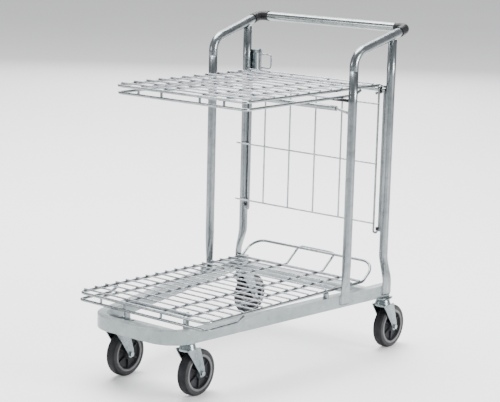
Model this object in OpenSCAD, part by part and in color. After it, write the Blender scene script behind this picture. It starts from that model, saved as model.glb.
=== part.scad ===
// Double-deck wire luggage trolley: nose toward -Y, handle toward +Y, floor at Z = 0.

/* [Posts and handle] */
// Outer diameter of every frame tube
tube_d = 25; // [20.5:0.1:28]
// Wall of the hollow tubes
tube_wall = 2; // [1.5:0.5:3]
// Sideways place of the rear posts, from the middle
rear_post_x = 254; // [246:1:306]
// Place of the rear posts along the trolley
rear_post_y = 343; // [330:1:350]
// Distance from the front posts back to the rear posts
post_gap = 170; // [130:1:210]
// How much nearer the middle each front post stands
post_taper = 9; // [0:1:10]
// Height where the front posts bend over
bend_z = 860; // [830:1:1040]
// Bend radius of the posts
post_bend_r = 45; // [40:1:60]
// Rise of the handle bar above the bend
handle_rise = 57; // [50:1:75]
// Distance of the handle bar behind the rear posts
handle_back = 61; // [50:1:80]

/* [Base] */
// Height of the rail's underside
rail_z = 157; // [157:1:190]
// Height of the rail section
rail_h = 35; // [28:1:38]
// Width of the rail section
rail_w = 25; // [20:1:28]
// Distance of the nose ahead of the middle
nose_y = 447; // [430:1:470]
// Corner radius of the nose
nose_r = 88; // [70:1:100]
// Narrowing of the rail per unit of length, each side
rail_taper = 0.151; // [0.12:0.005:0.17]

/* [Casters] */
// Wheel diameter
wheel_d = 125; // [100:1:126]
// Tread width
wheel_w = 32; // [26:1:36]
// Trail of the axle behind the swivel
trail = 35; // [30:1:42]
// Front swivel place, sideways
front_caster_x = 124; // [112:1:128]
// Front swivel place, ahead of the middle
front_caster_y = 358; // [345:1:365]
// Rear swivel place, behind the middle
rear_caster_y = 349; // [340:1:360]

/* [Decks] */
// Place of the two inner long rods, from the middle
inner_rod_x = 65; // [55:1:75]
// Place of the two outer long rods, from the middle
outer_rod_x = 145; // [130:1:160]
// Space from each rear post's centre to the shelf's side rod
side_space = 37; // [36:1:48]
// Shelf length ahead of its pivot
shelf_len = 600; // [500:5:640]
// Lower deck length
deck_len = 723; // [700:1:740]
// Frame rod diameter
rod_d = 8; // [5.8:0.1:8.4]
// Wire diameter
wire_d = 5; // [4:0.5:6]
// Depth between the upper and lower frame rods
frame_gap = 19; // [16:1:22]
// Cross wires on the shelf
shelf_wires = 12; // [8:1:14]
// Cross wires on the lower deck
deck_wires = 17; // [12:1:20]
// Height of the shelf pivot
pivot_z = 749; // [700:1:760]
// Pivot bar diameter
pivot_d = 12; // [10:0.1:14.4]
// Height of the guard hoops above the lower deck
hoop_h = 46; // [35:1:60]
// Bend radius at the top of the outer guard hoop
hoop_r = 45; // [20:1:48]
// Height of the lower deck's frame at its rear end
deck_rear_z = 202; // [202:1:260]

/* [Gate] */
// Length of the gate below the pivot
gate_len = 404; // [330:1:410]
// Spacing of the gate's upright wires
gate_pitch = 91; // [75:1:95]

/* [Hidden] */
$fn = 48;

zinc = "#b9c6cc";
dark = "#2a2c2e";

// Depth that welded pieces share, clearance of loose pieces and radial clearance of turning pins
weld = 0.5;
gap = 0.3;
fit = 0.05;
// How far a straight bar runs into its bends, and how much thicker the bends are
lap = 0.2;
swell = 0.04;

rail_top = rail_z + rail_h;
handle_z = bend_z + handle_rise;
deck_half = rear_post_x - side_space;
deck_side = deck_half + 3;
front_post_x = rear_post_x - post_taper;
front_post_y = rear_post_y - post_gap;
handle_y = rear_post_y + handle_back;
handle_x = rear_post_x + post_taper * handle_back / post_gap;
top_slope = handle_rise / (handle_y - front_post_y);
corner_leg = 34;
foot_rise = 20;
rail_end_y = rear_post_y + tube_d / 2 + 3;
rail_outer_x = rear_post_x + 13;
pivot_y = rear_post_y - 3;
eye = pivot_d / 2 + gap + rod_d / 2;
eye_half = eye + 0.5;
stay_d = 10;
stay_x = rear_post_x - tube_d / 2 - stay_d / 2 + weld;
gate_rod_d = 6;
gate_half = deck_half + rod_d / 2 + gate_rod_d / 2 + 1.2;
gate_eye = pivot_d / 2 + gap + gate_rod_d / 2;
gate_wire_y = -gate_eye - 0.5 - gate_rod_d / 2 - wire_d / 2 + weld;
shelf_tilt = 0.86;
deck_tilt = 2;
deck_rear_y = rear_post_y - 20;
wire_lift = rod_d / 2 + wire_d / 2 - weld;
long_x = [inner_rod_x, outer_rod_x];
shelf_rear = 26;
peg_d = 9;
peg_z = pivot_z - frame_gap - 0.5 + eye_half + (pivot_y - front_post_y) * sin(shelf_tilt) - rod_d / 2
  - peg_d / 2 - 1;
rest_z = peg_z - 25;
rest_rod_d = 8;
hinge_at = deck_rear_y + front_caster_y - 18;
bracket_x = (inner_rod_x + outer_rod_x) / 2 - 5;
hinge_rod_d = 8;
hinge_drop = 11.2;
hinge_z = deck_rear_z + hinge_at * sin(deck_tilt) - hinge_drop;
lock_x = rear_post_x - 28;
lock_y = rear_post_y + 26;
lock_z = pivot_z + 37;
lock_plate_y = rear_post_y + tube_d / 2 - weld;
rivet_x = rear_post_x + 12;
rivet_z = [lock_z - 28, lock_z + 28];
rivet_d = 5;
pin_d = 5;
axle_z = wheel_d / 2;
plate_t = 3;
race_h = 6;
crown_z = rail_z - 27;
king_d = 12;
bolt_d = 8;
leg_t = 3;
hub_w = wheel_w + 4;
leg_in = hub_w / 2 + 0.4;
front_x = front_caster_x;
front_y = -front_caster_y;
rear_x = rail_x(rear_caster_y) - rail_w / 2;
rear_y = rear_caster_y;

function unit(v) = v / norm(v);
function rail_x(y) = rail_outer_x - rail_taper * (rear_post_y - y);

// A straight round bar between two points
module bar(p, q, d) {
  u = unit(q - p);
  s = abs(u.z) > 0.9 ? [1, 0, 0] : [0, 0, 1];
  a = unit(cross(s, u));
  b = cross(u, a);
  m = [[a.x, b.x, u.x, p.x], [a.y, b.y, u.y, p.y], [a.z, b.z, u.z, p.z], [0, 0, 0, 1]];
  multmatrix(m) cylinder(h = norm(q - p), d = d);
}

function pick(r, i) = is_list(r) ? r[i - 1] : r;

// A round bar bent at each inner point of the path: r is one radius, or a list of them
module bent(pts, r, d) {
  last = len(pts) - 1;
  u = [for (i = [0 : last - 1]) unit(pts[i + 1] - pts[i])];
  turn = [for (i = [0 : last]) i == 0 || i == last ? 0 : acos(u[i - 1] * u[i])];
  cut = [for (i = [0 : last]) turn[i] == 0 ? 0 : pick(r, i) * tan(turn[i] / 2)];
  for (i = [0 : last - 1]) {
    a = pts[i] + u[i] * (i > 0 ? cut[i] - lap : 0);
    b = pts[i + 1] - u[i] * (i < last - 1 ? cut[i + 1] - lap : 0);
    bar(a, b, d);
  }
  for (i = [1 : last - 1]) {
    side = unit(u[i] - (u[i] * u[i - 1]) * u[i - 1]);
    x = -side;
    y = u[i - 1];
    z = cross(x, y);
    c = pts[i] - y * cut[i] + side * pick(r, i);
    m = [[x.x, y.x, z.x, c.x], [x.y, y.y, z.y, c.y], [x.z, y.z, z.z, c.z], [0, 0, 0, 1]];
    multmatrix(m) rotate_extrude(angle = turn[i]) translate([pick(r, i), 0]) circle(d = d + swell);
  }
}

// Plan outline of the base, moved inward by inset
module rail_plan(inset) {
  th = atan(rail_taper);
  r = nose_r - inset;
  cy = -nose_y + nose_r;
  cx = rail_x(cy) - nose_r / cos(th);
  tx = cx + r * cos(th);
  ty = cy - r * sin(th);
  back = rail_end_y + (inset > 0 ? 10 : 0);
  bx = tx + rail_taper * (back - ty);
  polygon([[-tx, ty], [tx, ty], [bx, back], [-bx, back]]);
  translate([-cx, cy - r]) square([2 * cx, r]);
  for (s = [-1, 1]) translate([s * cx, cy]) circle(r = r);
}

module base_rail() {
  color(zinc) translate([0, 0, rail_z]) linear_extrude(rail_h) difference() {
    rail_plan(0);
    rail_plan(rail_w);
  }
}

module rail_end_caps() {
  x = rail_x(rail_end_y);
  color(dark) for (s = [-1, 1])
    translate([s > 0 ? x - rail_w : -x, rail_end_y, rail_z + 0.5]) cube([rail_w - 0.5, 3, rail_h - 1]);
}

module front_caster_plate() {
  half = rail_x(-front_caster_y) - rail_w + weld;
  color(zinc) difference() {
    translate([-half, -front_caster_y - 30, rail_z]) cube([2 * half, 66, 4]);
    translate([0, -front_caster_y, rail_z - 1]) cylinder(h = 6, d = 40);
  }
}

module rear_cross_tube() {
  y = rear_post_y - 30;
  half = rail_x(y) - rail_w + weld;
  color(zinc) translate([-half, y - 12, rail_z]) difference() {
    cube([2 * half, 24, 24]);
    translate([-1, 2, 2]) cube([2 * half + 2, 20, 20]);
  }
}

// A post whose foot is welded to the outer face of the rail
module post(x, y, top, s) {
  foot_z = rail_z + 8;
  face = rail_x(y);
  color(zinc) {
    difference() {
      translate([s * x, y, rail_top + foot_rise]) cylinder(h = top - rail_top - foot_rise, d = tube_d);
      translate([s * x, y, rail_top + foot_rise + 10])
        cylinder(h = top - rail_top, d = tube_d - 2 * tube_wall);
    }
    translate([s > 0 ? face - weld : -face - 5 + weld, y - tube_d / 2 - 2, foot_z])
      cube([5, tube_d + 4, rail_top - foot_z + foot_rise + 4]);
    translate([s * (x + face) / 2, y, rail_top + foot_rise])
      cube([abs(x - face) + 6, tube_d - 3, 8], center = true);
  }
}

module front_post(s) {
  post(front_post_x, front_post_y, bend_z - post_bend_r, s);
}

// The sloped tube that goes on from the front post, over the rear post, to the handle
module top_tube(s) {
  a = [s * front_post_x, front_post_y, bend_z - post_bend_r];
  b = [s * front_post_x, front_post_y, bend_z];
  c = [s * handle_x, handle_y - corner_leg, handle_z - corner_leg * top_slope];
  color(zinc) bent([a, b, c], post_bend_r, tube_d);
}

module rear_post(s) {
  top = bend_z + top_slope * post_gap - tube_d / 2;
  post(rear_post_x, rear_post_y, top, s);
}

module pivot_bar() {
  half = stay_x + stay_d / 2 - weld;
  color(zinc) bar([-half, pivot_y, pivot_z], [half, pivot_y, pivot_z], pivot_d);
}

module post_stay(s) {
  low = pivot_z - gate_len;
  color(zinc) difference() {
    bar([s * stay_x, rear_post_y, low], [s * stay_x, rear_post_y, pivot_z + 12], stay_d);
    pivot_bar();
  }
}

module shelf_rest_rod() {
  x = front_post_x - tube_d / 2 + weld;
  color(zinc) bent([[-x, front_post_y, rest_z - 9], [-x + 40, front_post_y, rest_z],
    [x - 40, front_post_y, rest_z], [x, front_post_y, rest_z - 9]], 30, rest_rod_d);
}

module shelf_rest_sleeve() {
  half = front_post_x - 53;
  color(dark) difference() {
    bar([-half, front_post_y, rest_z], [half, front_post_y, rest_z], 15);
    bar([-half - 1, front_post_y, rest_z], [half + 1, front_post_y, rest_z], rest_rod_d);
  }
}

module stop_pegs() {
  color(dark) for (s = [-1, 1])
    bar([s * (front_post_x - tube_d / 2 + weld), front_post_y, peg_z],
      [s * (front_post_x - tube_d / 2 - 62), front_post_y, peg_z], peg_d);
}

module handle_bar() {
  half = handle_x - corner_leg;
  color(zinc) difference() {
    bar([-half, handle_y, handle_z], [half, handle_y, handle_z], tube_d);
    bar([-half - 1, handle_y, handle_z], [half + 1, handle_y, handle_z],
      tube_d - 2 * tube_wall);
  }
}

// Moulded corner piece that joins the handle bar to the sloped tube
module handle_corner(s) {
  p = [s * (handle_x - corner_leg), handle_y, handle_z];
  q = [s * handle_x, handle_y, handle_z];
  r = [s * handle_x, handle_y - corner_leg, handle_z - corner_leg * top_slope];
  color(dark) difference() {
    bent([p, q, r], 16, tube_d + 4);
    bar([s * (handle_x + 4), handle_y - 4, handle_z], [s * (handle_x + 20), handle_y + 12, handle_z], 5);
  }
}

module handle_screws() {
  color(zinc) for (s = [-1, 1])
    bar([s * (handle_x + 4), handle_y - 4, handle_z], [s * (handle_x + 7.4), handle_y - 0.6, handle_z], 5);
}

// Catch plate behind the far rear post, with two knuckles for the bail pin
module lock_bracket() {
  color(zinc) difference() {
    union() {
      translate([-rear_post_x - 18, lock_plate_y, lock_z - 34]) cube([44, 2.5, 68]);
      translate([-rear_post_x - 10, lock_plate_y + 2, lock_z - 24]) cube([20, 2, 12]);
      for (z = [-34, 24]) {
        translate([-lock_x, lock_y, lock_z + z]) cylinder(h = 10, d = 11);
        translate([-lock_x - 5.5, lock_plate_y, lock_z + z]) cube([6, lock_y - lock_plate_y, 10]);
      }
    }
    translate([-lock_x, lock_y, lock_z - 40]) cylinder(h = 80, d = pin_d);
    for (z = rivet_z) translate([-rivet_x, lock_plate_y + 6, z]) rotate([90, 0, 0])
      cylinder(h = 9, d = rivet_d);
  }
}

module lock_pin() {
  color(dark) translate([-lock_x, lock_y, lock_z - 36]) cylinder(h = 72, d = pin_d);
}

module lock_rivets() {
  color(zinc) for (z = rivet_z) translate([-rivet_x, lock_plate_y, z])
    rotate([-90, 0, 0]) {
      cylinder(h = 3, d = rivet_d);
      translate([0, 0, 2.5]) cylinder(h = 1.8, d = 8);
    }
}

// Wire bail that turns on the pin and holds the folded shelf
module lock_bail() {
  x0 = -lock_x;
  color(zinc) {
    difference() {
      translate([x0, lock_y, lock_z - 23.5]) cylinder(h = 47, d = 10);
      translate([x0, lock_y, lock_z - 25]) cylinder(h = 50, d = pin_d + 2 * fit);
    }
    bent([[x0 + 4.5, lock_y, lock_z + 20], [x0 + 42, lock_y, lock_z + 20], [x0 + 42, lock_y, lock_z - 20],
      [x0 + 4.5, lock_y, lock_z - 20]], 8, 4.5);
  }
}

// Places the shelf: its pivot is the origin and it reaches toward -Y
module shelf_place() {
  translate([0, pivot_y, pivot_z]) rotate([-shelf_tilt, 0, 0]) children();
}

module shelf_upper_frame() {
  e = eye_half;
  w = deck_half;
  color(zinc) shelf_place() bent([[w, -e, -e], [w, e, -e], [w, e, e], [w, -shelf_len, e],
    [-w, -shelf_len, e], [-w, e, e], [-w, e, -e], [-w, -e, -e]], eye, rod_d);
}

module shelf_lower_frame() {
  w = deck_half;
  z = eye_half - frame_gap;
  top = eye_half - rod_d + weld;
  color(zinc) shelf_place() bent([[w, -90, top], [w, -120, z], [w, -shelf_len, z], [-w, -shelf_len, z],
    [-w, -120, z], [-w, -90, top]], 14, rod_d);
}

module shelf_cross_wires() {
  step = (shelf_len - 50) / (shelf_wires - 1);
  color(zinc) shelf_place() for (i = [0 : shelf_wires - 1])
    bar([-deck_half - 2, -shelf_len + 18 + i * step, eye_half + wire_lift],
      [deck_half + 2, -shelf_len + 18 + i * step, eye_half + wire_lift], wire_d);
}

module shelf_long_rods() {
  color(zinc) shelf_place() for (s = [-1, 1], x = long_x)
    bent([[s * x, -shelf_len + 4, eye_half - frame_gap + rod_d / 2 - weld],
      [s * x, -shelf_len + 4, eye_half], [s * x, -shelf_rear, eye_half]], 5, rod_d - 1);
}

module shelf_rear_rod() {
  color(zinc) shelf_place() bar([-deck_half, -shelf_rear, eye_half],
    [deck_half, -shelf_rear, eye_half], rod_d - 2);
}

module gate_place() {
  translate([0, pivot_y, pivot_z]) children();
}

module gate_side_rods() {
  e = gate_eye + 0.5;
  low = -gate_len + 10;
  color(zinc) gate_place() for (s = [-1, 1]) {
    x = s * gate_half;
    eye_path = [[x, -e + 1, -e], [x, e, -e], [x, e, e], [x, -e, e]];
    hook_path = [[x, -e, low - 13], [x + s * 11.5, -e, low - 13], [x + s * 11.5, -e, low - 4]];
    bent(concat(eye_path, hook_path), [gate_eye, gate_eye, gate_eye, 5, 5], gate_rod_d);
  }
}

module gate_hook_tips() {
  color(dark) gate_place() for (s = [-1, 1])
    translate([s * (gate_half + 11.5), -gate_eye - 0.5, -gate_len + 6]) cylinder(h = 8, d = 8);
}

module gate_upright_wires() {
  top = -38;
  low = -gate_len + 22;
  color(zinc) gate_place() for (i = [-2 : 1])
    bar([-34 + (i + 0.5) * gate_pitch, gate_wire_y + wire_d - weld, low],
      [-34 + (i + 0.5) * gate_pitch, gate_wire_y + wire_d - weld, top], wire_d);
}

module gate_cross_wires() {
  color(zinc) gate_place() {
    for (z = [-209, -gate_len + 24])
      bar([-rear_post_x - 18, gate_wire_y, z], [gate_half + 4, gate_wire_y, z], wire_d);
    bar([-gate_half - 4, gate_wire_y, -40], [gate_half + 4, gate_wire_y, -40], wire_d);
  }
}

// Places the lower deck: its rear end is the origin and it reaches toward -Y
module deck_place() {
  translate([0, deck_rear_y, deck_rear_z]) rotate([-deck_tilt, 0, 0]) children();
}

module deck_frame() {
  w = deck_side;
  color(zinc) deck_place() bent([[1, -deck_len, 0], [w, -deck_len, 0], [w, -28, 0], [w, 32, hoop_h],
    [-w, 32, hoop_h], [-w, -28, 0], [-w, -deck_len, 0], [1, -deck_len, 0]],
    [20, 30, hoop_r, hoop_r, 30, 20], rod_d);
}

module deck_lower_frame() {
  w = deck_side;
  top = -rod_d + weld;
  start = -deck_len + 150;
  color(zinc) deck_place() bent([[w, start, top], [w, start - 30, -frame_gap], [w, -deck_len, -frame_gap],
    [-w, -deck_len, -frame_gap], [-w, start - 30, -frame_gap], [-w, start, top]], 14, rod_d);
}

module deck_cross_wires() {
  step = (deck_len - 66) / (deck_wires - 1);
  color(zinc) deck_place() for (i = [0 : deck_wires - 1])
    bar([-deck_side - 2, -deck_len + 20 + i * step, wire_lift],
      [deck_side + 2, -deck_len + 20 + i * step, wire_lift], wire_d);
}

// Long rods: the inner pair turns up into the second guard loop
module deck_long_rods() {
  d = rod_d - 1;
  x = long_x[0];
  front = -deck_len + 4;
  low = -frame_gap + rod_d / 2 - weld;
  color(zinc) deck_place() {
    bent([[x, front, low], [x, front, 0], [x, -8, 0], [x, 52, hoop_h], [-x, 52, hoop_h], [-x, -8, 0],
      [-x, front, 0], [-x, front, low]], [5, 20, 14, 14, 20, 5], d);
    for (s = [-1, 1]) bent([[s * long_x[1], front, low], [s * long_x[1], front, 0],
      [s * long_x[1], -30, 0]], 5, d);
    bar([-deck_side, -34, 0], [deck_side, -34, 0], d - 1);
  }
}

// Two plates on the front cross plate that hold the deck's hinge rod
module deck_hinge_brackets() {
  color(zinc) difference() {
    for (s = [-1, 1]) {
      x = s > 0 ? bracket_x : -bracket_x - 4;
      y = deck_rear_y - hinge_at;
      translate([s > 0 ? x - 14 : x, y - 10, rail_z + 4 - weld]) cube([18, 20, 3]);
      translate([x, y - 10, rail_z + 4 - weld]) cube([4, 20, hinge_z + 7 - rail_z - 4 + weld]);
    }
    deck_place() bar([-bracket_x - 20, -hinge_at, -hinge_drop], [bracket_x + 20, -hinge_at, -hinge_drop],
      hinge_rod_d + 2 * fit);
  }
}

// Welded steel studs on the rail that carry the lower deck's side rods
module deck_rest_pads() {
  y = rear_post_y - (rail_outer_x - rail_w / 2 - deck_side) / rail_taper;
  top = deck_rear_z + (deck_rear_y - y) * sin(deck_tilt) - rod_d / 2 - gap;
  color(zinc) for (s = [-1, 1])
    translate([s * deck_side, y, rail_top]) cylinder(h = top - rail_top, d = 16);
}

module deck_hinge_rod() {
  color(zinc) deck_place() {
    bar([-bracket_x - 12, -hinge_at, -hinge_drop], [bracket_x + 12, -hinge_at, -hinge_drop], hinge_rod_d);
    for (s = [-1, 1]) bar([s * long_x[0], -hinge_at, -hinge_drop],
      [s * long_x[0], -hinge_at, -rod_d / 2 + 1], 6);
  }
}

// Casters: each is built round its swivel axis with the wheel trailing toward +Y
module caster_place(x, y) {
  translate([x, y, 0]) children();
}

module caster_plate() {
  color(zinc) {
    translate([-20, -32, rail_z - plate_t]) cube([40, 50, plate_t]);
    translate([0, 0, rail_z - plate_t - race_h]) cylinder(h = race_h + 0.5, d1 = 40, d2 = 54);
    translate([0, 0, crown_z - 2]) cylinder(h = rail_z - crown_z, d = king_d - 2 * fit);
    translate([0, 0, crown_z - 4.3]) cylinder(h = 4, d = 20);
  }
}

module caster_fork() {
  top = rail_z - plate_t - race_h - gap;
  color(zinc) difference() {
    union() {
      translate([0, 0, crown_z]) cylinder(h = 5, d = 2 * leg_in + 10);
      translate([0, 0, crown_z + 4.5]) cylinder(h = top - crown_z - 4.5, d1 = 46, d2 = 38);
      for (s = [-1, 1]) translate([s > 0 ? leg_in : -leg_in - leg_t, 0, 0]) rotate([90, 0, 90])
        linear_extrude(leg_t) union() {
          polygon([[-24, crown_z + 5], [26, crown_z + 5], [trail + 11, axle_z + 8], [trail + 9, axle_z],
            [trail - 9, axle_z]]);
          translate([trail, axle_z]) circle(d = 20);
        }
    }
    translate([0, 0, crown_z - 1]) cylinder(h = 40, d = king_d);
    translate([-40, trail, axle_z]) rotate([0, 90, 0]) cylinder(h = 80, d = bolt_d);
  }
}

module caster_axle() {
  end = leg_in + leg_t;
  color(zinc) translate([0, trail, axle_z]) rotate([0, 90, 0]) {
    translate([0, 0, -end - 3]) cylinder(h = 2 * end + 8, d = bolt_d - 2 * fit);
    translate([0, 0, end]) cylinder(h = 5, d = 14, $fn = 6);
    translate([0, 0, -end - 5]) cylinder(h = 5, d = 14, $fn = 6);
  }
}

module caster_rim() {
  rim_r = wheel_d / 2 - 15;
  color("#3a3d40") translate([0, trail, axle_z]) rotate([0, 90, 0]) difference() {
    union() {
      cylinder(h = hub_w, d = 30, center = true);
      cylinder(h = 10, r = rim_r - 4, center = true);
      difference() {
        cylinder(h = wheel_w - 4, r = rim_r, center = true);
        cylinder(h = wheel_w, r = rim_r - 6, center = true);
      }
    }
    cylinder(h = hub_w + 2, d = bolt_d, center = true);
  }
}

module caster_tyre() {
  r = wheel_d / 2;
  h = wheel_w / 2;
  color(dark) translate([0, trail, axle_z]) rotate([0, 90, 0]) rotate_extrude($fn = 96)
    polygon([[r - 15, -h + 2], [r - 12, -h], [r - 6, -h], [r - 1.5, -h + 4], [r, -h + 9], [r, h - 9],
      [r - 1.5, h - 4], [r - 6, h], [r - 12, h], [r - 15, h - 2]]);
}

base_rail();
rail_end_caps();
front_caster_plate();
rear_cross_tube();
front_post(1);  // front_post_near
front_post(-1);  // front_post_far
mirror([1, 0, 0]) top_tube(-1);  // top_tube_near
top_tube(-1);  // top_tube_far
rear_post(1);  // rear_post_near
rear_post(-1);  // rear_post_far
pivot_bar();
post_stay(1);  // post_stay_near
post_stay(-1);  // post_stay_far
shelf_rest_rod();
shelf_rest_sleeve();
stop_pegs();
handle_bar();
handle_corner(1);  // handle_corner_near
handle_corner(-1);  // handle_corner_far
handle_screws();
lock_bracket();
lock_pin();
lock_rivets();
lock_bail();
shelf_upper_frame();
shelf_lower_frame();
shelf_cross_wires();
shelf_long_rods();
shelf_rear_rod();
gate_side_rods();
gate_upright_wires();
gate_cross_wires();
gate_hook_tips();
deck_frame();
deck_lower_frame();
deck_cross_wires();
deck_long_rods();
deck_hinge_brackets();
deck_hinge_rod();
deck_rest_pads();
caster_place(front_x, front_y) caster_plate();  // caster_nf_plate
caster_place(front_x, front_y) caster_fork();  // caster_nf_fork
caster_place(front_x, front_y) caster_axle();  // caster_nf_axle
caster_place(front_x, front_y) caster_rim();  // caster_nf_rim
caster_place(front_x, front_y) caster_tyre();  // caster_nf_tyre
caster_place(-front_x, front_y) caster_plate();  // caster_ff_plate
caster_place(-front_x, front_y) caster_fork();  // caster_ff_fork
caster_place(-front_x, front_y) caster_axle();  // caster_ff_axle
caster_place(-front_x, front_y) caster_rim();  // caster_ff_rim
caster_place(-front_x, front_y) caster_tyre();  // caster_ff_tyre
caster_place(rear_x, rear_y) caster_plate();  // caster_nr_plate
caster_place(rear_x, rear_y) caster_fork();  // caster_nr_fork
caster_place(rear_x, rear_y) caster_axle();  // caster_nr_axle
caster_place(rear_x, rear_y) caster_rim();  // caster_nr_rim
caster_place(rear_x, rear_y) caster_tyre();  // caster_nr_tyre
caster_place(-rear_x, rear_y) caster_plate();  // caster_fr_plate
caster_place(-rear_x, rear_y) caster_fork();  // caster_fr_fork
caster_place(-rear_x, rear_y) caster_axle();  // caster_fr_axle
caster_place(-rear_x, rear_y) caster_rim();  // caster_fr_rim
caster_place(-rear_x, rear_y) caster_tyre();  // caster_fr_tyre
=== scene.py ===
import math
import bmesh
import bpy
from mathutils import Matrix, Vector


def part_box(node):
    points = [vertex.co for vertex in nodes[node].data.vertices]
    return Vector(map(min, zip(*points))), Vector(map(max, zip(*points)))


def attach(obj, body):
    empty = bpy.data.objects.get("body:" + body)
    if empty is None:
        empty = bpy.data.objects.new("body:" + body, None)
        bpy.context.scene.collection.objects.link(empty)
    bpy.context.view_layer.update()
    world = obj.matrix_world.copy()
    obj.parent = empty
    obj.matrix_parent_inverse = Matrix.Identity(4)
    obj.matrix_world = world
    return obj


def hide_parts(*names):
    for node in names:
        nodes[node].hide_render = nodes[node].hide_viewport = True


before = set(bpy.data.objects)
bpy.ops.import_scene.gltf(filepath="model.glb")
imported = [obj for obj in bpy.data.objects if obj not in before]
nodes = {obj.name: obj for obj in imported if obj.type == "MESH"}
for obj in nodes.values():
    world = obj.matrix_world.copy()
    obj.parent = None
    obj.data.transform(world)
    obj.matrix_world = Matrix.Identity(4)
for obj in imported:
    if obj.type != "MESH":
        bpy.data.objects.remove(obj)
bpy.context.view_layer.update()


# ---- Base rail ----
# The base is one rectangular steel tube bent into a U with a rounded nose. It has a satin zinc coat with
# faint drawing lines along it, and the cross tube and hinge plates inside it are welded in and coated alike.

def new_material(name):
    """An empty node material with its shader and object coordinates."""
    made = bpy.data.materials.new(name)
    made.use_nodes = True
    tree = made.node_tree
    shader = tree.nodes["Principled BSDF"]
    place = tree.nodes.new("ShaderNodeTexCoord")
    return made, tree, shader, place.outputs["Object"]


def noise(tree, place, scale, detail, stretch=(1, 1, 1), rough=0.55):
    """Noise over object coordinates, stretched by the three factors."""
    mapping = tree.nodes.new("ShaderNodeMapping")
    mapping.inputs["Scale"].default_value = stretch
    tree.links.new(place, mapping.inputs["Vector"])
    tex = tree.nodes.new("ShaderNodeTexNoise")
    tex.inputs["Scale"].default_value = scale
    tex.inputs["Detail"].default_value = detail
    tex.inputs["Roughness"].default_value = rough
    tree.links.new(mapping.outputs["Vector"], tex.inputs["Vector"])
    return tex.outputs["Fac"]


def ramp(tree, value, low, high, low_at=0.3, high_at=0.7):
    """A colour or grey ramp between two stops."""
    node = tree.nodes.new("ShaderNodeValToRGB")
    node.color_ramp.elements[0].position = low_at
    node.color_ramp.elements[1].position = high_at
    node.color_ramp.elements[0].color = (*low, 1) if len(low) == 3 else low
    node.color_ramp.elements[1].color = (*high, 1) if len(high) == 3 else high
    tree.links.new(value, node.inputs["Fac"])
    return node.outputs["Color"]


def multiply(tree, first, second):
    """Multiplies two colours."""
    node = tree.nodes.new("ShaderNodeMix")
    node.data_type = "RGBA"
    node.blend_type = "MULTIPLY"
    node.inputs[0].default_value = 1.0
    tree.links.new(first, node.inputs[6])
    tree.links.new(second, node.inputs[7])
    return node.outputs[2]


def bump(tree, shader, height, strength, distance):
    """Adds surface relief from a height, on top of any relief already there."""
    node = tree.nodes.new("ShaderNodeBump")
    node.inputs["Strength"].default_value = strength
    node.inputs["Distance"].default_value = distance
    tree.links.new(height, node.inputs["Height"])
    if shader.inputs["Normal"].is_linked:
        tree.links.new(shader.inputs["Normal"].links[0].from_socket, node.inputs["Normal"])
    tree.links.new(node.outputs["Normal"], shader.inputs["Normal"])


def zinc_finish(name, dark, light, rough, lines, metal=1.0, stain_tone=0.72):
    """Zinc plate on steel: cloudy tone, drawing lines along it, dull stains and fine rubbed scratches."""
    made, tree, shader, place = new_material(name)
    shader.inputs["Metallic"].default_value = metal
    clouds = noise(tree, place, 14, 5)
    stain = noise(tree, place, 55, 6, rough=0.7)
    scratch = noise(tree, place, 320, 2, tuple(0.5 if k == 1 else k * 1.5 for k in lines))
    stained = ramp(tree, stain, (stain_tone, stain_tone + 0.01, stain_tone + 0.02), (1, 1, 1), 0.33, 0.5)
    toned = multiply(tree, ramp(tree, clouds, dark, light), stained)
    rubbed = ramp(tree, scratch, (1, 1, 1), (1.25, 1.24, 1.22), 0.62, 0.72)
    tree.links.new(multiply(tree, toned, rubbed), shader.inputs["Base Color"])
    drawn = noise(tree, place, 180, 3, lines)
    tree.links.new(ramp(tree, drawn, (rough - 0.07,) * 3, (rough + 0.1,) * 3), shader.inputs["Roughness"])
    bump(tree, shader, drawn, 0.12, 0.0004)
    bump(tree, shader, stain, 0.08, 0.0003)
    return made


def dress(node_name, material):
    """Gives a CAD node its finish."""
    materials = nodes[node_name].data.materials
    materials.clear()
    materials.append(material)


rail_zinc = zinc_finish("rail_zinc_satin", (0.20, 0.228, 0.234), (0.25, 0.282, 0.288), 0.34, (1, 0.06, 1),
                        0.92, 0.86)
for part in ("base_rail", "rear_cross_tube", "deck_hinge_brackets", "deck_rest_pads"):
    dress(part, rail_zinc)
pressed_zinc = zinc_finish("pressed_zinc", (0.172, 0.205, 0.215), (0.238, 0.274, 0.284), 0.3, (1, 1, 1))
dress("front_caster_plate", pressed_zinc)


# ---- Black moulded pieces ----
# Caps, pegs and hook tips are moulded black plastic, pushed on over the steel. The surface
# is finely grained, a little dusty in the hollows and polished where hands and bags rub it.

def moulded(name, low, high, rough, grain):
    """Moulded black plastic or rubber with grain, dust and rubbed patches."""
    made, tree, shader, place = new_material(name)
    shader.inputs["Specular IOR Level"].default_value = 0.22
    dust = noise(tree, place, 24, 6, rough=0.65)
    tree.links.new(ramp(tree, dust, low, high, 0.35, 0.75), shader.inputs["Base Color"])
    fine = noise(tree, place, grain, 2)
    rub = noise(tree, place, 40, 4)
    rub_rough = ramp(tree, rub, (rough - 0.12,) * 3, (rough + 0.12,) * 3)
    tree.links.new(rub_rough, shader.inputs["Roughness"])
    bump(tree, shader, fine, 0.25, 0.0003)
    return made


black_plastic = moulded("black_plastic_grained", (0.006, 0.006, 0.007), (0.02, 0.02, 0.023), 0.42, 900)
for part in ("rail_end_caps", "stop_pegs", "gate_hook_tips"):
    dress(part, black_plastic)


# ---- Posts ----
# Each post is a round steel tube, bright zinc plated. Its foot is pressed flat and welded over the rail's
# outer face, so the round section fades into a flat tongue over a hand's breadth.

tube_dark, tube_light = (0.172, 0.191, 0.201), (0.238, 0.261, 0.271)
tube_zinc = zinc_finish("tube_zinc_bright", tube_dark, tube_light, 0.24, (1, 1, 0.05))


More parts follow.
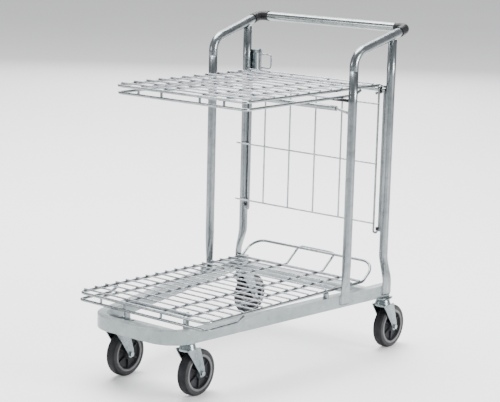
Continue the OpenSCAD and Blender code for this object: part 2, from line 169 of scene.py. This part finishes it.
def mesh_piece(name, build, material):
    """Makes an object at the origin from a bmesh filled by build."""
    bm = bmesh.new()
    build(bm)
    bmesh.ops.recalc_face_normals(bm, faces=bm.faces)
    mesh = bpy.data.meshes.new(name)
    bm.to_mesh(mesh)
    bm.free()
    for face in mesh.polygons:
        face.use_smooth = True
    piece = bpy.data.objects.new(name, mesh)
    bpy.context.scene.collection.objects.link(piece)
    mesh.materials.append(material)
    return piece


def loft(bm, rings):
    """Skins a list of rings that have the same number of points, and closes both ends."""
    rows = [[bm.verts.new(p) for p in ring] for ring in rings]
    count = len(rows[0])
    for low, high in zip(rows, rows[1:]):
        for i in range(count):
            j = (i + 1) % count
            bm.faces.new((low[i], low[j], high[j], high[i]))
    bm.faces.new(rows[0])
    bm.faces.new(rows[-1])


def ease(t):
    """A smooth step from 0 to 1."""
    t = max(0.0, min(1.0, t))
    return t * t * (3 - 2 * t)


def node_mesh(node_name):
    """The mesh of a CAD node."""
    return nodes[node_name].data


rail_points = [v.co for v in node_mesh("base_rail").vertices]
rail_rear = max(rail_points, key=lambda c: c.x)
rail_front = max((c for c in rail_points if c.y < 0), key=lambda c: c.x)
rail_taper = (rail_rear.x - rail_front.x) / (rail_rear.y - rail_front.y)
rail_low, rail_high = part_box("base_rail")
foot_half = 0.0165
foot_rise = 0.006
flat_half = 0.0032
flat_offset = 0.0029
press_length = 0.085
post_sides = 40


def rail_face(y):
    """Sideways place of the rail's outer face at a place along it."""
    return rail_rear.x - rail_taper * (rail_rear.y - y)


def post_foot(node_name):
    """Middle of a post along the trolley and the height of its foot's lower edge."""
    low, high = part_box(node_name)
    return (low[1] + high[1]) / 2, low[2]


def flattened_post(name, node_name, side):
    """A round tube whose foot is pressed flat against the rail."""
    low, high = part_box(node_name)
    y, foot_z = post_foot(node_name)
    top = [v.co for v in node_mesh(node_name).vertices if v.co.z > high[2] - 0.001]
    round_x = (min(c.x for c in top) + max(c.x for c in top)) / 2
    radius = (max(c.x for c in top) - min(c.x for c in top)) / 2
    flat_x = side * (rail_face(y) + flat_offset)
    flat_z = rail_high[2] + foot_rise
    round_z = flat_z + press_length
    steps = [foot_z, foot_z + 0.004, flat_z]
    steps += [flat_z + (round_z - flat_z) * k / 16 for k in range(1, 17)]
    steps += [round_z + (high[2] - round_z) * k / 6 for k in range(1, 7)]

    def build(bm):
        rings = []
        for z in steps:
            t = ease((z - flat_z) / (round_z - flat_z))
            half_x = flat_half + (radius - flat_half) * t
            half_y = foot_half + (radius - foot_half) * t
            if z == foot_z:
                half_x *= 0.6
                half_y *= 0.88
            x = flat_x * (1 - t) + round_x * t
            slant = side * rail_taper * (1 - t)
            power = 0.55 + 0.45 * t
            ring = []
            for k in range(post_sides):
                a = math.tau * k / post_sides
                c, s = math.cos(a), math.sin(a)
                across = half_y * math.copysign(abs(s) ** power, s)
                ring.append((x + slant * across + half_x * math.copysign(abs(c) ** power, c), y + across, z))
            rings.append(ring)
        loft(bm, rings)

    piece = mesh_piece(name, build, tube_zinc)
    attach(piece, "frame")
    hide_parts(node_name)


posts = [(f"{place}_post_{word}", side) for place in ("front", "rear")
         for word, side in (("near", 1), ("far", -1))]
for node_name, side in posts:
    flattened_post(f"{node_name}_tube", node_name, side)


# ---- Sloped tubes, stays and handle ----
# The front posts carry on over a long bend to the handle. Stays, pivot bar and handle tube share the same
# bright plate, drawn along their own length.

cross_zinc = zinc_finish("cross_tube_zinc", (0.198, 0.221, 0.228), (0.277, 0.3, 0.304), 0.22, (0.05, 1, 1))
slope_zinc = zinc_finish("sloped_tube_zinc", tube_dark, tube_light, 0.24, (1, 0.05, 1))
for part in ("top_tube_near", "top_tube_far"):
    dress(part, slope_zinc)
for part in ("handle_bar", "pivot_bar", "shelf_rest_rod"):
    dress(part, cross_zinc)
for part in ("post_stay_near", "post_stay_far"):
    dress(part, tube_zinc)
dress("shelf_rest_sleeve", cross_zinc)


# ---- Handle corners ----
# Each corner is a moulded black elbow with a raised collar at both mouths, pushed over the tubes and held
# by one round-headed screw with a cross slot.

def softened_copy(name, node_name, material, width):
    """A merged copy of a CAD node with its edges rounded."""
    bm = bmesh.new()
    bm.from_mesh(node_mesh(node_name))
    bmesh.ops.remove_doubles(bm, verts=bm.verts, dist=1e-6)
    bmesh.ops.dissolve_limit(bm, angle_limit=math.radians(1.0), verts=bm.verts, edges=bm.edges)
    mesh = bpy.data.meshes.new(name)
    bm.to_mesh(mesh)
    bm.free()
    piece = bpy.data.objects.new(name, mesh)
    bpy.context.scene.collection.objects.link(piece)
    round_off = piece.modifiers.new("edge", "BEVEL")
    round_off.width = width
    round_off.segments = 3
    round_off.limit_method = "ANGLE"
    round_off.angle_limit = math.radians(35)
    round_off.use_clamp_overlap = True
    graph = bpy.context.evaluated_depsgraph_get()
    done = bpy.data.meshes.new_from_object(piece.evaluated_get(graph))
    piece.modifiers.clear()
    piece.data = done
    done.materials.clear()
    done.materials.append(material)
    for face in done.polygons:
        face.use_smooth = True
    done.set_sharp_from_angle(angle=math.radians(50))
    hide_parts(node_name)
    return piece


for word in ("near", "far"):
    corner = softened_copy(f"handle_elbow_{word}", f"handle_corner_{word}", black_plastic, 0.0012)
    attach(corner, "frame")


# ---- Screws, rivets and weld spots ----
# Round-headed screws hold the corners and domed rivets hold the catch plate. Every crossing of two wires
# is resistance welded, which leaves a small flat nugget in the joint.

def fastener_tree(name, material):
    """Geometry Nodes: one flattened ball at each point, turned into plain mesh."""
    tree = bpy.data.node_groups.new(name, "GeometryNodeTree")
    face = tree.interface
    face.new_socket("Geometry", in_out="INPUT", socket_type="NodeSocketGeometry")
    radius = face.new_socket("Radius", in_out="INPUT", socket_type="NodeSocketFloat")
    squash = face.new_socket("Squash", in_out="INPUT", socket_type="NodeSocketVector")
    face.new_socket("Geometry", in_out="OUTPUT", socket_type="NodeSocketGeometry")
    start = tree.nodes.new("NodeGroupInput")
    ball = tree.nodes.new("GeometryNodeMeshUVSphere")
    ball.inputs["Segments"].default_value = 12
    ball.inputs["Rings"].default_value = 6
    tree.links.new(start.outputs["Radius"], ball.inputs["Radius"])
    place = tree.nodes.new("GeometryNodeInstanceOnPoints")
    tree.links.new(start.outputs["Geometry"], place.inputs["Points"])
    tree.links.new(ball.outputs["Mesh"], place.inputs["Instance"])
    tree.links.new(start.outputs["Squash"], place.inputs["Scale"])
    real = tree.nodes.new("GeometryNodeRealizeInstances")
    tree.links.new(place.outputs["Instances"], real.inputs["Geometry"])
    smooth = tree.nodes.new("GeometryNodeSetShadeSmooth")
    tree.links.new(real.outputs["Geometry"], smooth.inputs["Geometry"])
    paint = tree.nodes.new("GeometryNodeSetMaterial")
    paint.inputs["Material"].default_value = material
    tree.links.new(smooth.outputs["Geometry"], paint.inputs["Geometry"])
    end = tree.nodes.new("NodeGroupOutput")
    tree.links.new(paint.outputs["Geometry"], end.inputs["Geometry"])
    return tree, radius.identifier, squash.identifier


def grow(name, points, tree, settings, material, body, edges=()):
    """Runs a node tree on a set of points and keeps the plain mesh it makes."""
    seed = bpy.data.meshes.new(name + "_points")
    seed.from_pydata(points, list(edges), [])
    piece = bpy.data.objects.new(name, seed)
    bpy.context.scene.collection.objects.link(piece)
    maker = piece.modifiers.new("maker", "NODES")
    maker.node_group = tree
    for key, value in settings.items():
        maker[key] = value
    graph = bpy.context.evaluated_depsgraph_get()
    graph.update()
    done = bpy.data.meshes.new_from_object(piece.evaluated_get(graph))
    piece.modifiers.clear()
    piece.data = done
    if not done.materials:
        done.materials.append(material)
    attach(piece, body)
    return piece


screw_zinc = zinc_finish("screw_zinc", (0.251, 0.271, 0.284), (0.343, 0.363, 0.376), 0.2, (1, 1, 1))
for part in ("handle_screws", "lock_rivets"):
    dress(part, screw_zinc)
spot_tree, spot_radius, spot_squash = fastener_tree("round_spots", screw_zinc)


# ---- Wire rows ----
# The decks and the gate are straight drawn wires, cropped square with a slight burr, laid side by side and
# welded on top of the frame rods. Rows keep the count and pitch of the frame under them.

# The wire zinc is painted lighter than the posts' zinc: the plate's own tone plus a painted highlight for the
# light on the wires' tops.
painted_highlight_wire_zinc = zinc_finish("bright_zinc_wire_painted_highlight", (0.27, 0.285, 0.31), (0.38, 0.395, 0.42), 0.22, (0.06, 1, 1))
# The rod zinc is also painted lighter than the posts' zinc: the plate's own tone plus a painted highlight on
# the rods.
painted_highlight_rod_zinc = zinc_finish("bright_zinc_rod_painted_highlight", (0.20, 0.222, 0.235), (0.29, 0.312, 0.325), 0.22, (1, 0.06, 1))


def wire_tree(name, material):
    """Geometry Nodes: every edge of the input becomes a round wire with flat capped ends."""
    tree = bpy.data.node_groups.new(name, "GeometryNodeTree")
    face = tree.interface
    face.new_socket("Geometry", in_out="INPUT", socket_type="NodeSocketGeometry")
    radius = face.new_socket("Wire radius", in_out="INPUT", socket_type="NodeSocketFloat")
    face.new_socket("Geometry", in_out="OUTPUT", socket_type="NodeSocketGeometry")
    start = tree.nodes.new("NodeGroupInput")
    path = tree.nodes.new("GeometryNodeMeshToCurve")
    tree.links.new(start.outputs["Geometry"], path.inputs["Mesh"])
    ring = tree.nodes.new("GeometryNodeCurvePrimitiveCircle")
    ring.inputs["Resolution"].default_value = 16
    tree.links.new(start.outputs["Wire radius"], ring.inputs["Radius"])
    sweep = tree.nodes.new("GeometryNodeCurveToMesh")
    sweep.inputs["Fill Caps"].default_value = True
    tree.links.new(path.outputs["Curve"], sweep.inputs["Curve"])
    tree.links.new(ring.outputs["Curve"], sweep.inputs["Profile Curve"])
    real = tree.nodes.new("GeometryNodeRealizeInstances")
    tree.links.new(sweep.outputs["Mesh"], real.inputs["Geometry"])
    paint = tree.nodes.new("GeometryNodeSetMaterial")
    paint.inputs["Material"].default_value = material
    tree.links.new(real.outputs["Geometry"], paint.inputs["Geometry"])
    end = tree.nodes.new("NodeGroupOutput")
    tree.links.new(paint.outputs["Geometry"], end.inputs["Geometry"])
    return tree, radius.identifier


wires_tree, wires_radius = wire_tree("straight_wires", painted_highlight_wire_zinc)
bunch_gap = 0.006


def smooth_by_angle(piece, degrees=40):
    """Smooth sides with crisp ends."""
    for face in piece.data.polygons:
        face.use_smooth = True
    piece.data.set_sharp_from_angle(angle=math.radians(degrees))


def bunches(node_name, axis):
    """Splits a node's vertices into its separate wires, by the gaps between them along an axis."""
    points = sorted((v.co for v in node_mesh(node_name).vertices), key=lambda c: c[axis])
    groups = [[points[0]]]
    for point in points[1:]:
        if point[axis] - groups[-1][-1][axis] > bunch_gap:
            groups.append([])
        groups[-1].append(point)
    return groups


def mid(group, axis):
    """Middle of a group of points along an axis."""
    return (min(c[axis] for c in group) + max(c[axis] for c in group)) / 2


def wire_row(name, node_name, body, radius):
    """Rebuilds a row of cross wires, each on the axis that the CAD wire has."""
    low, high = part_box(node_name)
    points, edges = [], []
    for k, group in enumerate(bunches(node_name, 1)):
        y, z = mid(group, 1), mid(group, 2)
        points += [(low[0], y, z), (high[0], y, z)]
        edges.append((2 * k, 2 * k + 1))
    row = grow(name, points, wires_tree, {wires_radius: radius}, painted_highlight_wire_zinc, body, edges)
    smooth_by_angle(row)
    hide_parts(node_name)
    return points


wire_radius = 0.0025
shelf_points = wire_row("shelf_wire_row", "shelf_cross_wires", "shelf", wire_radius)
deck_points = wire_row("deck_wire_row", "deck_cross_wires", "deck", wire_radius)


def weld_spots(name, row, rods_x, body):
    """A weld nugget under each wire, where it crosses a rod."""
    drop = 0.0024
    spots = [(x, row[k][1], row[k][2] - drop) for k in range(0, len(row), 2) for x in rods_x]
    settings = {spot_radius: 0.0028, spot_squash: (1.2, 1.0, 0.55)}
    grow(name, spots, spot_tree, settings, screw_zinc, body)


rod_radius = 0.004
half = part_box("shelf_upper_frame")[1][0] - rod_radius
rods = [mid(group, 0) for group in bunches("shelf_long_rods", 0)]
weld_spots("shelf_weld_spots", shelf_points, rods + [-half, half], "shelf")
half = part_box("deck_frame")[1][0] - rod_radius
weld_spots("deck_weld_spots", deck_points, rods + [-half, half], "deck")
for part in ("shelf_upper_frame", "shelf_lower_frame", "shelf_long_rods", "deck_frame", "deck_lower_frame",
             "deck_long_rods", "deck_hinge_rod", "gate_side_rods"):
    dress(part, painted_highlight_rod_zinc)
for part in ("shelf_rear_rod", "gate_cross_wires", "gate_upright_wires"):
    dress(part, painted_highlight_wire_zinc)


# ---- Gate weld spots ----
# The gate's uprights are welded behind its three cross wires, one nugget to a crossing.

gate_x = [mid(group, 0) for group in bunches("gate_upright_wires", 0)]
gate_z = [mid(group, 2) for group in bunches("gate_cross_wires", 2)]
weld_y = (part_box("gate_upright_wires")[0][1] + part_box("gate_cross_wires")[1][1]) / 2
spots = [(x, weld_y, z) for x in gate_x for z in gate_z]
grow("gate_weld_spots", spots, spot_tree, {spot_radius: 0.0026, spot_squash: (1.1, 0.7, 1.1)}, screw_zinc,
     "gate")


# ---- Foot welds ----
# Each post's foot is welded to the rail by hand along its two sides and its lower edge. The bead is a
# narrow ridge that swells and thins a little along its run.

def bead_path(node_name, side):
    """A wavy path down one side of a foot, along its lower edge and up the other side."""
    y, foot_z = post_foot(node_name)
    corners = [(-foot_half, rail_high[2] - 0.001), (-foot_half, foot_z + 0.001), (foot_half, foot_z + 0.001),
               (foot_half, rail_high[2] - 0.001)]
    path = []
    for (y0, z0), (y1, z1) in zip(corners, corners[1:]):
        count = max(3, round((abs(y1 - y0) + abs(z1 - z0)) / 0.003))
        for k in range(count + (y1 == corners[-1][0] and z1 == corners[-1][1])):
            t = k / count
            wave = 0.0003 * math.sin(2.1 * len(path)) + 0.0002 * math.sin(5.3 * len(path))
            across = y0 + (y1 - y0) * t
            path.append((side * (rail_face(y + across) + 0.0006 + wave), y + across, z0 + (z1 - z0) * t))
    return path


bead_tree, bead_radius = wire_tree("weld_beads", screw_zinc)
bead_points, bead_edges = [], []
for node_name, side in posts:
    path = bead_path(node_name, side)
    start = len(bead_points)
    bead_points += path
    bead_edges += [(start + k, start + k + 1) for k in range(len(path) - 1)]
beads = grow("foot_weld_beads", bead_points, bead_tree, {bead_radius: 0.0015}, screw_zinc, "frame",
             bead_edges)
smooth_by_angle(beads, 60)


# ---- Lock ----
# The catch is a pressed zinc plate behind the far rear post, riveted through, with a wire bail that turns
# on a dark steel pin to hold the folded shelf.

lock_plate = softened_copy("lock_catch_plate", "lock_bracket", pressed_zinc, 0.0006)
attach(lock_plate, "frame")
dark_steel = zinc_finish("dark_steel_pin", (0.05, 0.05, 0.055), (0.12, 0.12, 0.13), 0.4, (1, 1, 0.2))
dress("lock_pin", dark_steel)
dress("lock_bail", painted_highlight_wire_zinc)


# ---- Casters ----
# Each caster is a pressed steel plate and fork on a double ball race, with a black rubber tyre moulded on
# a dark grey plastic wheel centre. The centre has a hub, a thin web with ribs and a pale raised ring.

tyre_rubber = moulded("tyre_rubber_worn", (0.006, 0.0065, 0.008), (0.02, 0.021, 0.024), 0.68, 500)
side_rubber = moulded("tyre_side_rubber", (0.022, 0.022, 0.024), (0.045, 0.045, 0.048), 0.6, 500)
rim_plastic = moulded("wheel_centre_plastic", (0.012, 0.013, 0.015), (0.03, 0.032, 0.036), 0.55, 700)
ring_plastic = moulded("wheel_ring_plastic", (0.11, 0.11, 0.112), (0.18, 0.18, 0.182), 0.55, 700)


tyre_depth = 0.0148
shoulder = 0.009
side_inset = 0.0003
wheel_steps = 72
rib_count = 6


def turned(bm, profile, centre):
    """Turns a closed profile of (radius, along) points about the wheel's axle."""
    rings = []
    for k in range(wheel_steps):
        a = math.tau * k / wheel_steps
        rings.append([bm.verts.new((centre.x + along, centre.y + r * math.cos(a), centre.z + r * math.sin(a)))
                      for r, along in profile])
    count = len(profile)
    for k in range(wheel_steps):
        now, after = rings[k], rings[(k + 1) % wheel_steps]
        for i in range(count):
            j = (i + 1) % count
            bm.faces.new((now[i], now[j], after[j], after[i]))


def arc(cx, cy, radius, start, end, steps):
    """Points of (radius, along) on an arc, in degrees."""
    angles = [math.radians(start + (end - start) * k / steps) for k in range(steps + 1)]
    return [(cx + radius * math.cos(a), cy + radius * math.sin(a)) for a in angles]


for code in ("nf", "ff", "nr", "fr"):
    swivel = f"caster_{code}_swivel"
    wheel = f"caster_{code}_wheel"
    low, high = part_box(f"caster_{code}_tyre")
    centre = (Vector(low) + Vector(high)) / 2
    outer = (high[2] - low[2]) / 2
    half = (high[0] - low[0]) / 2
    seat = outer - tyre_depth

    def tyre_build(bm):
        side = arc(outer - shoulder, half - 0.0095, shoulder, 0, 78, 9)
        profile = [(seat, half - 0.002), (outer - 0.0125, half - side_inset)]
        profile += [(r, min(a, half - side_inset)) for r, a in reversed(side)]
        profile += [(outer - 0.0003, half - 0.0125), (outer, 0.004)]
        turned(bm, profile + [(r, -a) for r, a in reversed(profile)], centre)

    tyre = mesh_piece(f"caster_{code}_tread", tyre_build, tyre_rubber)
    tyre.data.materials.append(side_rubber)
    for face in tyre.data.polygons:
        face.material_index = 1 if abs(face.normal.x) > 0.8 else 0
    smooth_by_angle(tyre, 45)
    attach(tyre, wheel)
    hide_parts(f"caster_{code}_tyre")

    rim_low, rim_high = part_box(f"caster_{code}_rim")
    hub_half = (rim_high[0] - rim_low[0]) / 2

    def rim_build(bm):
        edge = half - 0.0035
        side = [(0.0042, hub_half), (0.0125, hub_half), (0.0145, hub_half - 0.0015), (0.0155, 0.0075),
                (0.018, 0.0055), (seat - 0.0085, 0.0055), (seat - 0.0065, edge - 0.0035),
                (seat - 0.0055, edge), (seat - 0.0008, edge), (seat, edge - 0.001)]
        turned(bm, side + [(r, -a) for r, a in reversed(side)], centre)
        for k in range(rib_count):
            a = math.tau * (k + 0.5) / rib_count
            along = Vector((0, math.cos(a), math.sin(a)))
            across = Vector((0, -math.sin(a), math.cos(a))) * 0.0016
            rings = []
            for r, h in ((0.014, 0.0125), (seat - 0.007, 0.0105)):
                c = centre + along * r
                up = Vector((h, 0, 0))
                rings.append([c + across + up, c - across + up, c - across - up, c + across - up])
            loft(bm, rings)

    rim = mesh_piece(f"caster_{code}_centre", rim_build, rim_plastic)
    smooth_by_angle(rim, 35)
    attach(rim, wheel)
    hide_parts(f"caster_{code}_rim")

    def ring_build(bm):
        for s in (-1, 1):
            turned(bm, [(seat + 0.0022, s * (half - 0.003)), (seat + 0.0015, s * (half - 0.0012)),
                        (seat - 0.004, s * (half - 0.0012)), (seat - 0.0055, s * (half - 0.003))], centre)

    ring = mesh_piece(f"caster_{code}_side_ring", ring_build, ring_plastic)
    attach(ring, wheel)

    fork = softened_copy(f"caster_{code}_pressed_fork", f"caster_{code}_fork", pressed_zinc, 0.0008)
    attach(fork, swivel)
    dress(f"caster_{code}_plate", pressed_zinc)
    dress(f"caster_{code}_axle", screw_zinc)


# ---- Floor, light and camera ----
# A pale floor, soft light from both sides and above, and a long lens from the front near corner.

reach = 14
floor_mesh = bpy.data.meshes.new("studio_floor")
floor_mesh.from_pydata([(-reach, -reach, 0), (reach, -reach, 0), (reach, reach, 0), (-reach, reach, 0)], [],
                       [(0, 1, 2, 3)])
floor = bpy.data.objects.new("studio_floor", floor_mesh)
bpy.context.scene.collection.objects.link(floor)
floor_paint, floor_tree, floor_shader, floor_place = new_material("floor_paint")
floor_tone = ramp(floor_tree, noise(floor_tree, floor_place, 0.8, 2), (0.9, 0.9, 0.9), (0.93, 0.93, 0.93))
floor_tree.links.new(floor_tone, floor_shader.inputs["Base Color"])
floor_shader.inputs["Roughness"].default_value = 0.9
floor_shader.inputs["Emission Color"].default_value = (1, 1, 1, 1)
floor_shader.inputs["Emission Strength"].default_value = 0.16
floor_mesh.materials.append(floor_paint)

world = bpy.data.worlds.new("studio")
bpy.context.scene.world = world
world.use_nodes = True
sky = world.node_tree.nodes["Background"]
sky.inputs["Color"].default_value = (0.97, 0.985, 1, 1)
sky.inputs["Strength"].default_value = 0.62


def soft_light(name, place, aim, size, power):
    """A large square lamp at a place, turned to face the aim point."""
    lamp = bpy.data.lights.new(name, "AREA")
    lamp.size = size
    lamp.energy = power
    holder = bpy.data.objects.new(name, lamp)
    turn = (Vector(place) - Vector(aim)).to_track_quat("Z", "Y")
    holder.matrix_world = Matrix.Translation(place) @ turn.to_matrix().to_4x4()
    holder.visible_camera = False
    bpy.context.scene.collection.objects.link(holder)


middle = (0, 0, 0.5)
soft_light("top", (-1.2, 0.8, 5.0), middle, 4.0, 820)
soft_light("side", (3.2, 0.6, 1.4), middle, 1.0, 120)
soft_light("backdrop", (-3.6, 4.7, 2.8), middle, 3.8, 190)
soft_light("front", (-2.0, -3.4, 1.6), middle, 0.8, 40)

azimuth, elevation, roll = math.radians(37.9), math.radians(12.3), math.radians(1.4)
back = Vector((math.sin(azimuth) * math.cos(elevation), -math.cos(azimuth) * math.cos(elevation),
               math.sin(elevation)))
right = Vector((math.cos(azimuth), math.sin(azimuth), 0))
up = back.cross(right).normalized()
turned_right = right * math.cos(roll) + up * math.sin(roll)
turned_up = up * math.cos(roll) - right * math.sin(roll)
lens = bpy.data.cameras.new("camera")
lens.sensor_width = 36
lens.lens = 112.1
lens.shift_x = 0.0038
lens.shift_y = 0.0318
lens.clip_end = 60
camera = bpy.data.objects.new("camera", lens)
aim_point, distance = Vector((0.0111, 0.0259, 0.4013)), 4.2987
spot = aim_point + back * distance
turn = Matrix((turned_right, turned_up, back)).transposed().to_4x4()
camera.matrix_world = Matrix.Translation(spot) @ turn
bpy.context.scene.collection.objects.link(camera)
bpy.context.scene.camera = camera
